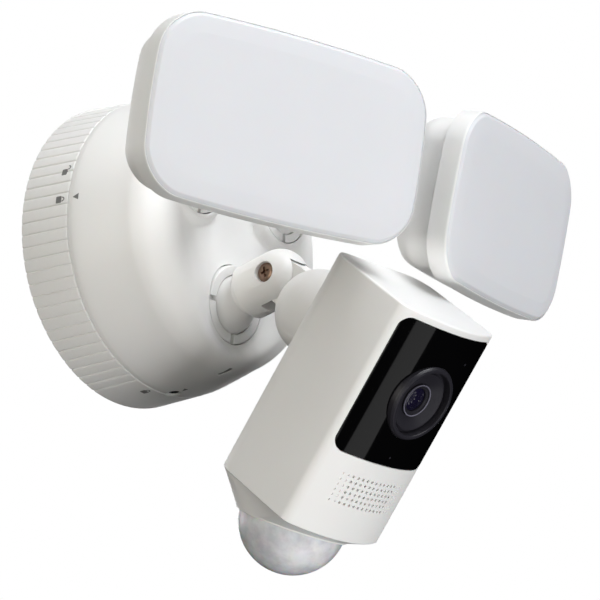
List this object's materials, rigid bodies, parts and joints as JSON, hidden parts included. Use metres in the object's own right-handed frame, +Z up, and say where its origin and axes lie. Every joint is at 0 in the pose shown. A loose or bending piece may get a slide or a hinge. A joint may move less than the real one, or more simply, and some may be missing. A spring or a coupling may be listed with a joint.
{
  "type": "floodlight security camera",
  "caption": "Wall-mounted security camera with a round base, ball-jointed arms, tilting light panels, a lens behind a dark panel and a motion sensor dome.",
  "frame": {"origin": "centre of the wall bracket's back face, on the wall", "axes": "+Z up, -Y out from the wall towards the viewer, +X to the right as seen from the front"},
  "size_m": [0.3056, 0.2015, 0.2452],
  "materials": {
    "white_plastic": "satin moulded, fine texture",
    "diffuser_plastic": "satin translucent white",
    "black_panel": "high gloss",
    "graphite_plastic": "satin",
    "lens_glass": "polished, dark coating",
    "dome_plastic": "translucent, fine facets",
    "bronze_screw": "dark bronze plating",
    "galvanised_steel": "zinc plated",
    "black_rubber": "matt",
    "circuit_board": "solder mask",
    "aluminium": "satin",
    "dark_plastic": "matt"
  },
  "bodies": {
    "base": {"wall_bracket": "galvanised_steel", "wall_gasket": "black_rubber", "base_body": "white_plastic", "lock_screw": "galvanised_steel", "power_board": "circuit_board", "supply_transformer": "dark_plastic", "supply_capacitor": "dark_plastic", "terminal_block": "dark_plastic", "camera_retaining_ring": "white_plastic", "camera_joint_cup": "dark_plastic", "left_retaining_ring": "white_plastic", "left_joint_cup": "dark_plastic", "right_retaining_ring": "white_plastic", "right_joint_cup": "dark_plastic"},
    "lock_ring": {"lock_ring": "white_plastic"},
    "camera_ball": {"camera_ball_stud": "white_plastic"},
    "camera_arm": {"camera_arm": "white_plastic", "camera_elbow_screw": "bronze_screw", "camera_elbow_nut": "galvanised_steel"},
    "camera_head": {"head_shell": "white_plastic", "head_collar": "white_plastic", "pir_dome": "dome_plastic", "front_panel": "black_panel", "lens_bezel": "graphite_plastic", "lens_barrel": "graphite_plastic", "lens_glass": "lens_glass", "image_sensor_board": "circuit_board", "main_board": "circuit_board", "speaker": "dark_plastic", "pir_sensor": "galvanised_steel", "pir_board": "circuit_board"},
    "left_ball": {"left_ball_stud": "white_plastic"},
    "left_arm": {"left_arm": "white_plastic", "left_elbow_screw": "bronze_screw", "left_elbow_nut": "galvanised_steel"},
    "left_light": {"left_light_frame": "white_plastic", "left_light_diffuser": "diffuser_plastic", "left_light_seal": "black_rubber", "left_led_board": "circuit_board", "left_heat_spreader": "aluminium", "left_light_cover": "white_plastic"},
    "right_ball": {"right_ball_stud": "white_plastic"},
    "right_arm": {"right_arm": "white_plastic", "right_elbow_screw": "bronze_screw", "right_elbow_nut": "galvanised_steel"},
    "right_light": {"right_light_frame": "white_plastic", "right_light_diffuser": "diffuser_plastic", "right_light_seal": "black_rubber", "right_led_board": "circuit_board", "right_heat_spreader": "aluminium", "right_light_cover": "white_plastic"}
  },
  "joints": [
    {"name": "lock_ring_twist", "type": "hinge", "parent": "base", "child": "lock_ring", "pos_m": [0, 0, 0], "axis": [0, -1, 0], "range_deg": [0, 12]},
    {"name": "camera_pan", "type": "hinge", "parent": "base", "child": "camera_ball", "pos_m": [0, -0.0638, -0.0348], "axis": [0, 0, 1], "range_deg": [-15, 15]},
    {"name": "camera_twist", "type": "hinge", "parent": "camera_ball", "child": "camera_arm", "pos_m": [0, -0.0638, -0.0348], "axis": [0, -0.9724, 0.2334], "range_deg": [-8, 4]},
    {"name": "camera_tilt", "type": "hinge", "parent": "camera_arm", "child": "camera_head", "pos_m": [0, -0.09783, -0.02663], "axis": [1, 0, 0], "range_deg": [-2, 35]},
    {"name": "left_pan", "type": "hinge", "parent": "base", "child": "left_ball", "pos_m": [-0.032, -0.0685, 0.019], "axis": [0, 0, 1], "range_deg": [-10, 8]},
    {"name": "left_twist", "type": "hinge", "parent": "left_ball", "child": "left_arm", "pos_m": [-0.032, -0.0685, 0.019], "axis": [-0.2874, -0.9578, 0], "range_deg": [-30, 30]},
    {"name": "left_tilt", "type": "hinge", "parent": "left_arm", "child": "left_light", "pos_m": [-0.04809, -0.12214, 0.019], "axis": [0.9572, -0.2872, -0.0349], "range_deg": [-45, 5]},
    {"name": "right_pan", "type": "hinge", "parent": "base", "child": "right_ball", "pos_m": [0.032, -0.0685, 0.019], "axis": [0, 0, 1], "range_deg": [-8, 14]},
    {"name": "right_twist", "type": "hinge", "parent": "right_ball", "child": "right_arm", "pos_m": [0.032, -0.0685, 0.019], "axis": [0.2164, -0.9763, 0], "range_deg": [-30, 6]},
    {"name": "right_tilt", "type": "hinge", "parent": "right_arm", "child": "right_light", "pos_m": [0.04412, -0.12317, 0.019], "axis": [0.9751, 0.2162, 0.0489], "range_deg": [-45, 1.5]}
  ]
}
